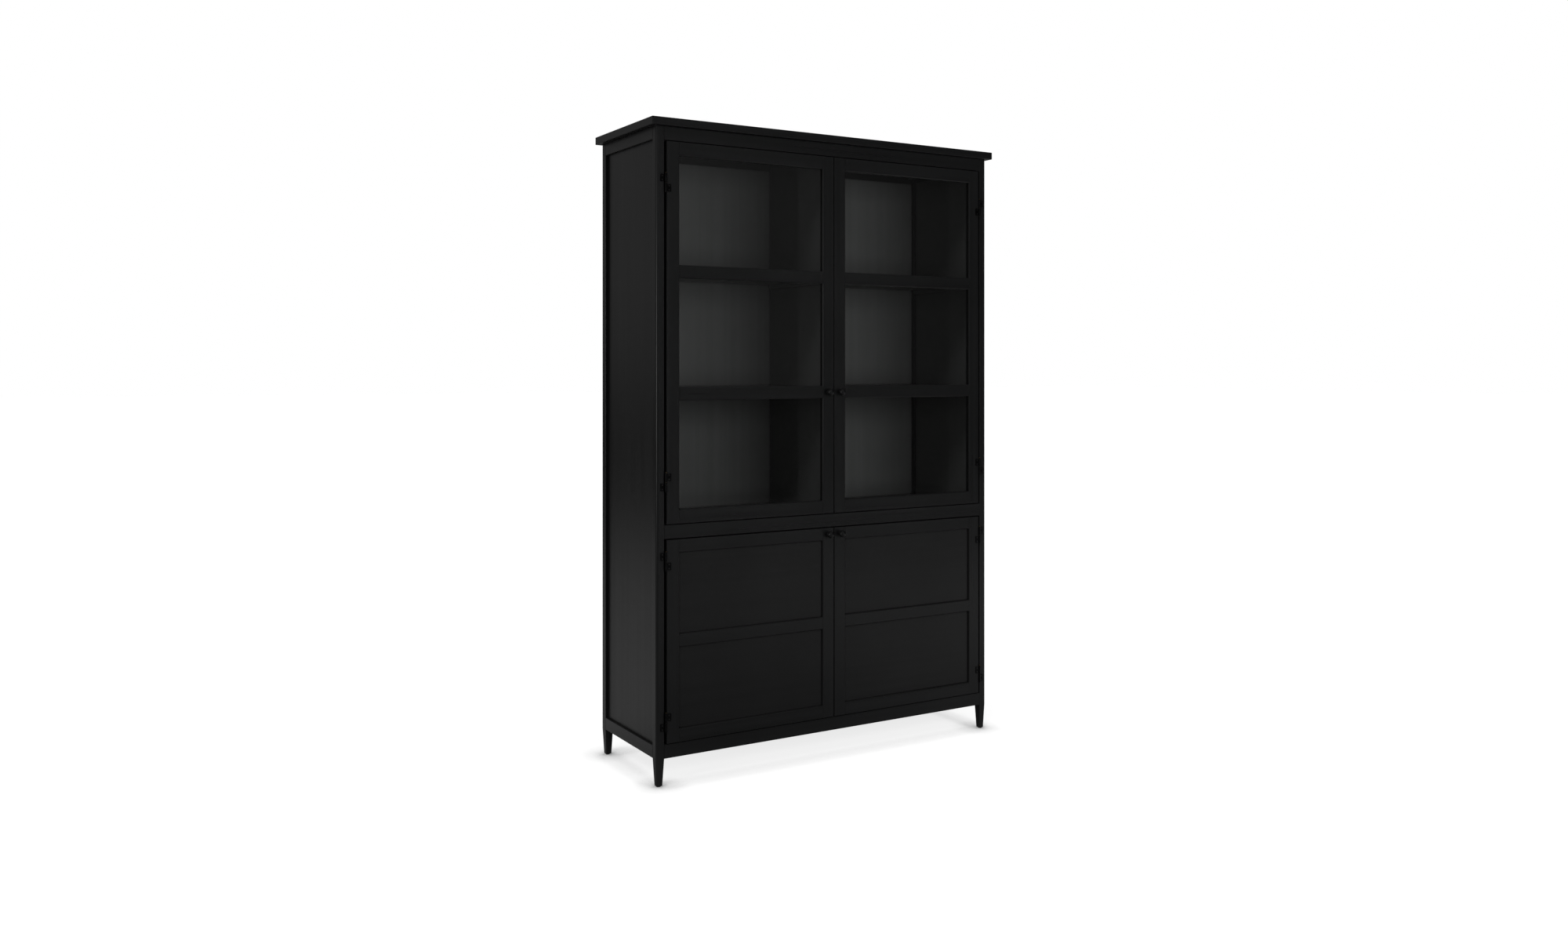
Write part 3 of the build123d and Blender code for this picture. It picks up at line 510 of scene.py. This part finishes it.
def knob_profile(radius, length):
    """Radius and height along a knob, in metres, from the door to the tip of the dome."""
    r = radius / 12                     # a twelfth of the head's radius
    h = length / 26                     # a 26th of the whole height
    foot = np.array([[7.2 * r, 0.0], [7.5 * r, 0.25 * h], [7.5 * r, 1.1 * h]])
    bead = arc((7.1 * r, 1.1 * h), (0.4 * r, 0.4 * h), 0, 90, 5)
    flare = arc((7.1 * r, 9.0 * h), (2.6 * r, 7.5 * h), 270, 180)
    under = arc((4.5 * r, 16.0 * h), (7.5 * r, 7.0 * h), 270, 360, 2 * ARC_STEPS)
    dome = arc((0.0, 16.0 * h), (12.0 * r, 10.0 * h), 0, 90, 3 * ARC_STEPS)
    ring = 0.12 * h * np.exp(-((dome[:, 0] / r - 7.4) / 0.35) ** 2)
    dome[:, 1] -= ring
    points = np.vstack([foot, bead[1:], flare[1:], under[1:], dome[1:]])
    return points[:-1], points[-1, 1]


profile, tip = knob_profile(0.012, 0.026)
print("knob profile", profile.shape, "tip at", round(float(tip), 4))


# %% Carry the profile round its axis
def turned_mesh(name, profile, tip, centre, front):
    """A closed turned form that points along -Y.

    Ring k, side j sits at the centre plus radius times (cosine, 0, sine) of j's share of a
    turn, and at front minus height in Y. One vertex closes each end. UV is the share of a
    turn, and the metres travelled along the profile.
    """
    rings, sides = len(profile), KNOB_SIDES
    turn = np.linspace(0, 2 * np.pi, sides, endpoint=False)
    radius, height = profile[:, :1], profile[:, 1:]
    wall = np.stack([centre[0] + radius * np.cos(turn),
                     np.broadcast_to(front - height, (rings, sides)),
                     centre[1] + radius * np.sin(turn)], axis=-1).reshape(-1, 3)
    ends = np.array([[centre[0], front, centre[1]], [centre[0], front - tip, centre[1]]])
    points = np.vstack([wall, ends])
    ring, side = np.meshgrid(np.arange(rings - 1), np.arange(sides), indexing="ij")
    across = (side + 1) % sides
    quads = np.stack([ring * sides + side, ring * sides + across,
                      (ring + 1) * sides + across, (ring + 1) * sides + side],
                     axis=-1).reshape(-1, 4)
    j = np.arange(sides)
    after = (j + 1) % sides
    base, top = rings * sides, rings * sides + 1
    last = (rings - 1) * sides
    back_fan = np.column_stack([after, j, np.full(sides, base)])
    tip_fan = np.column_stack([last + j, last + after, np.full(sides, top)])
    mesh = bpy.data.meshes.new(name)
    mesh.from_pydata(points.tolist(), [], quads.tolist() + back_fan.tolist() + tip_fan.tolist())
    mesh.polygons.foreach_set("use_smooth", np.ones(len(mesh.polygons), bool))

    travelled = np.concatenate([[0], np.cumsum(np.hypot(*np.diff(profile, axis=0).T))])
    u_first, v_first = (side / sides).ravel(), travelled[ring].ravel()
    u_next, v_next = u_first + 1 / sides, travelled[ring + 1].ravel()
    wall_uv = np.stack([u_first, v_first, u_next, v_first, u_next, v_next, u_first, v_next],
                       axis=-1).reshape(-1, 2)
    share = j / sides
    middle = share + 0.5 / sides
    zero = np.zeros(sides)
    far, tip_v = np.full(sides, travelled[-1]), np.full(sides, travelled[-1] + profile[-1, 0])
    back_v = np.full(sides, -profile[0, 0])
    back_uv = np.stack([share + 1 / sides, zero, share, zero, middle, back_v], -1).reshape(-1, 2)
    tip_uv = np.stack([share, far, share + 1 / sides, far, middle, tip_v], -1).reshape(-1, 2)
    layer = mesh.uv_layers.new(name="turned")
    layer.data.foreach_set("uv", np.vstack([wall_uv, back_uv, tip_uv]).ravel())
    mesh.validate()
    mesh.update()
    return mesh


print("turned surfaces have", KNOB_SIDES, "sides")

# %% [markdown]
# ## Knob lacquer
#
# The knobs are lacquered a little glossier than the frame, and their edges are rubbed. Fine
# rings from the lathe run round them. The rings follow the surface, so they read the knob's
# own UV map, in which V is the distance along the profile.

# %% Lacquer with lathe rings
def knob_lacquer():
    """Rings: noise that changes with V and hardly at all with U, used for gloss and relief."""
    material, tree, shader = begin("knob_lacquer", **{"Specular IOR Level": 0.5, "IOR": 1.5,
                                                      "Coat Weight": 0.15,
                                                      "Coat Roughness": 0.12})
    unrolled = add(tree, "UVMap", uv_map="turned")
    rings = add(tree, "Mapping", {"Scale": (1.5, 1800.0, 1.0)})
    join(tree, unrolled.outputs["UV"], rings.inputs["Vector"])
    lines = add(tree, "TexNoise", {"Scale": 1.0, "Detail": 3.0, "Roughness": 0.55})
    join(tree, rings.outputs["Vector"], lines.inputs["Vector"])
    where = add(tree, "TexCoord").outputs["Object"]
    wear = place(tree, edge_group, where, Radius=0.0006)["Mask"]
    tone = add(tree, "Mix", data_type="RGBA")
    tone.inputs["A"].default_value = (0.0018, 0.0018, 0.0019, 1)
    tone.inputs["B"].default_value = (0.0036, 0.0036, 0.0038, 1)
    join(tree, spread(tree, lines.outputs["Fac"], 0.3, 0.7), tone.inputs["Factor"])
    rubbed = add(tree, "Mix", data_type="RGBA")
    rubbed.inputs["B"].default_value = (0.035, 0.032, 0.030, 1)
    join(tree, math_node(tree, "MULTIPLY", wear, 0.4), rubbed.inputs["Factor"])
    join(tree, tone.outputs["Result"], rubbed.inputs["A"])
    join(tree, rubbed.outputs["Result"], shader.inputs["Base Color"])
    gloss = spread(tree, lines.outputs["Fac"], 0.3, 0.7, 0.24, 0.34)
    join(tree, gloss, shader.inputs["Roughness"])
    relief = add(tree, "Bump", {"Strength": 0.35, "Distance": 0.00005})
    join(tree, lines.outputs["Fac"], relief.inputs["Height"])
    join(tree, relief.outputs["Normal"], shader.inputs["Normal"])
    return material


# %% Turn the four knobs
lacquer = knob_lacquer()
for node in sorted(name for name in frame["nodes"] if name.endswith("_knob")):
    low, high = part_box(node)
    centre = ((low.x + high.x) / 2, (low.z + high.z) / 2)
    profile, tip = knob_profile((high.x - low.x) / 2, high.y - low.y)
    mesh = turned_mesh("turned_" + node, profile, tip, centre, high.y)
    mesh.materials.append(lacquer)
    turned_knob = bpy.data.objects.new("turned_" + node, mesh)
    bpy.context.scene.collection.objects.link(turned_knob)
    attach(turned_knob, node.removesuffix("_knob"))
    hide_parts(node)
    print(turned_knob.name, len(mesh.polygons), "faces")

# %% [markdown]
# ## A pale studio
#
# The floor is a plain white sheet that runs out to a white background. A white studio would
# fill black paint with white reflections, so what the paint sees has to be kept dim.
# Here rays from the camera see the floor and the room as white, and all other rays see them
# as grey: one Light Path node in each does it. The floor's grey is darker before the cabinet,
# where the doors mirror it, and fades with distance, so that no bright horizon crosses the
# tall panels. Part of the floor's white is its own glow, so that the shadow under the
# cabinet stays light. The glow dims close to each foot, which gives a contact shadow.

# %% The floor
FLOOR_REACH = 60.0           # metres, from the middle to each side
FLOOR_GLOW = 0.78
FLOOR_LIT = 0.36             # how much lamp light the floor gives back to the camera
CONTACT_REACH = 0.10         # metres, how far from a foot the floor darkens
CONTACT_GLOW = 0.3           # what is left of the glow right beside a foot
GREY_FRONT, GREY_BACK = 0.10, 0.38   # the grey the paint sees before and behind the cabinet
GREY_RIGHT = 0.24                    # what is added to it towards the right


def studio_floor():
    """Camera rays: glow plus a diffuse share. Other rays: a grey diffuse floor.

    The glow is multiplied by the open share of the sky, spread to its limits. The grey is a
    ramp in Y plus a ramp in X, times a ramp that falls with the distance from the cabinet.
    """
    material = bpy.data.materials.new("studio_floor")
    material.use_nodes = True
    tree = material.node_tree
    tree.nodes.clear()
    open_sky = add(tree, "AmbientOcclusion", {"Distance": CONTACT_REACH}, samples=8)
    contact = spread(tree, open_sky.outputs["AO"], 0.72, 0.98, CONTACT_GLOW, 1.0)
    glow = add(tree, "Emission", {"Color": (1, 1, 1, 1)})
    join(tree, math_node(tree, "MULTIPLY", contact, FLOOR_GLOW), glow.inputs["Strength"])
    lit = add(tree, "BsdfDiffuse", {"Color": (FLOOR_LIT, FLOOR_LIT, FLOOR_LIT, 1)})
    bright = add(tree, "AddShader")
    where = add(tree, "TexCoord").outputs["Object"]
    parts = add(tree, "SeparateXYZ")
    join(tree, where, parts.inputs[0])
    distance = add(tree, "VectorMath", operation="LENGTH")
    join(tree, where, distance.inputs[0])
    near = math_node(tree, "ADD",
                     spread(tree, parts.outputs["Y"], -0.6, 0.6, GREY_FRONT, GREY_BACK),
                     spread(tree, parts.outputs["X"], 0.3, 2.5, 0.0, GREY_RIGHT))
    fading = spread(tree, distance.outputs["Value"], 4.0, 9.0, 1.0, 0.1)
    grey = add(tree, "BsdfDiffuse")
    join(tree, math_node(tree, "MULTIPLY", near, fading), grey.inputs["Color"])
    path = add(tree, "LightPath")
    choice = add(tree, "MixShader")
    output = add(tree, "OutputMaterial")
    join(tree, glow.outputs[0], bright.inputs[0])
    join(tree, lit.outputs[0], bright.inputs[1])
    join(tree, path.outputs["Is Camera Ray"], choice.inputs[0])
    join(tree, grey.outputs[0], choice.inputs[1])
    join(tree, bright.outputs[0], choice.inputs[2])
    join(tree, choice.outputs[0], output.inputs["Surface"])
    return material


corners = np.array([[-1, -1, 0], [1, -1, 0], [1, 1, 0], [-1, 1, 0]]) * FLOOR_REACH
floor_mesh = bpy.data.meshes.new("floor")
floor_mesh.from_pydata(corners.tolist(), [], [(0, 1, 2, 3)])
floor_mesh.materials.append(studio_floor())
floor = bpy.data.objects.new("floor", floor_mesh)
bpy.context.scene.collection.objects.link(floor)
print("floor", FLOOR_REACH * 2, "m across")

# %% The room
ROOM_RIGHT, ROOM_LEFT = 0.02, 0.16   # how bright the room looks to the paint


def studio_room():
    """White to the camera. To other rays: dark at the right and grey everywhere else.

    A ray's direction is the room's Generated coordinate, and the grey is a ramp in its X.
    """
    world = bpy.data.worlds.new("studio_room")
    world.use_nodes = True
    tree = world.node_tree
    tree.nodes.clear()
    parts = add(tree, "SeparateXYZ")
    join(tree, add(tree, "TexCoord").outputs["Generated"], parts.inputs[0])
    sideways = spread(tree, parts.outputs["X"], 0.3, 0.65, ROOM_LEFT, ROOM_RIGHT)
    dim = add(tree, "Background", {"Color": (1, 1, 1, 1)})
    join(tree, sideways, dim.inputs["Strength"])
    white = add(tree, "Background", {"Color": (1, 1, 1, 1), "Strength": 1.0})
    path = add(tree, "LightPath")
    choice = add(tree, "MixShader")
    output = add(tree, "OutputWorld")
    join(tree, path.outputs["Is Camera Ray"], choice.inputs[0])
    join(tree, dim.outputs[0], choice.inputs[1])
    join(tree, white.outputs[0], choice.inputs[2])
    join(tree, choice.outputs[0], output.inputs["Surface"])
    return world


scene = bpy.context.scene
scene.world = studio_room()
scene.view_settings.view_transform = "Standard"
print("room brightness to the paint", ROOM_RIGHT, "to", ROOM_LEFT)

# %% [markdown]
# ## Lamps
#
# Two sun lamps light the whole floor evenly, however far it runs. The overhead one is very
# wide and stands a little behind the cabinet, so a soft shadow falls forwards. The key is
# narrower, and comes from the front left. Black paint would show both as hot spots, so
# neither is mirrored.
#
# Two softboxes light the cabinet. The wide one stands in front and lights the shelves
# through the panes, where each upright casts a soft shade on the back. The narrow one at the
# left is there to be mirrored: it draws a thin bright line down the posts' arrises.

# %% The overhead lamps
def sky_lamp(name, power, spread_angle, tilt):
    """A sun lamp that glossy surfaces do not mirror. Angles are in degrees."""
    data = bpy.data.lights.new(name, "SUN")
    data.energy, data.angle = power, math.radians(spread_angle)
    lamp = bpy.data.objects.new(name, data)
    lamp.rotation_euler = [math.radians(angle) for angle in tilt]
    lamp.visible_glossy = False
    lamp.visible_transmission = False
    scene.collection.objects.link(lamp)
    return lamp


overhead = sky_lamp("overhead", 1.25, 80, (-14, -6, 0))
key = sky_lamp("key", 0.7, 16, (26, -38, 0))
print("sky lamps", overhead.data.energy, key.data.energy)


# %% The softboxes
def softbox(name, stand, target, width, height, power, mirrored):
    """A rectangular area lamp at stand that faces target. Glass never passes its picture,
    and no surface mirrors it unless mirrored is true."""
    data = bpy.data.lights.new(name, "AREA")
    data.shape = "RECTANGLE"
    data.size, data.size_y, data.energy = width, height, power
    lamp = bpy.data.objects.new(name, data)
    lamp.location = stand
    towards = Vector(target) - Vector(stand)
    lamp.rotation_euler = towards.to_track_quat("-Z", "Y").to_euler()
    lamp.visible_glossy = mirrored
    lamp.visible_transmission = False
    scene.collection.objects.link(lamp)
    return lamp


front_box = softbox("front_softbox", (0.6, -3.7, 1.5), (0, 0, 1.3), 3.4, 1.6, 115, False)
left_box = softbox("left_softbox", (-4.2, -1.6, 1.36), (-0.6, 0, 1.2), 0.10, 1.2, 14, True)
print("softboxes", front_box.data.energy, left_box.data.energy, "watts")

# %% [markdown]
# ## The camera
#
# The camera stands at the front left, at chest height, and looks level, so that uprights
# stay upright. Its sensor is shifted rather than tilted to place the cabinet in the picture.

# %% The camera
SENSOR_WIDTH = 36.0                    # millimetres
LENS = 29.8386                         # millimetres
SHIFT_ACROSS, SHIFT_UP = -0.006025, -0.0624    # in sensor widths
CAMERA_STAND = (-2.3948, -3.9069, 1.3189)
CAMERA_TURN = -31.151                  # degrees from straight back, negative to the right

camera_data = bpy.data.cameras.new("camera")
camera_data.sensor_width = SENSOR_WIDTH
camera_data.lens = LENS
camera_data.shift_x, camera_data.shift_y = SHIFT_ACROSS, SHIFT_UP
camera = bpy.data.objects.new("camera", camera_data)
camera.location = CAMERA_STAND
camera.rotation_euler = (math.radians(90), 0, math.radians(CAMERA_TURN))
scene.collection.objects.link(camera)
scene.camera = camera
print("lens", round(camera_data.lens, 2), "mm")
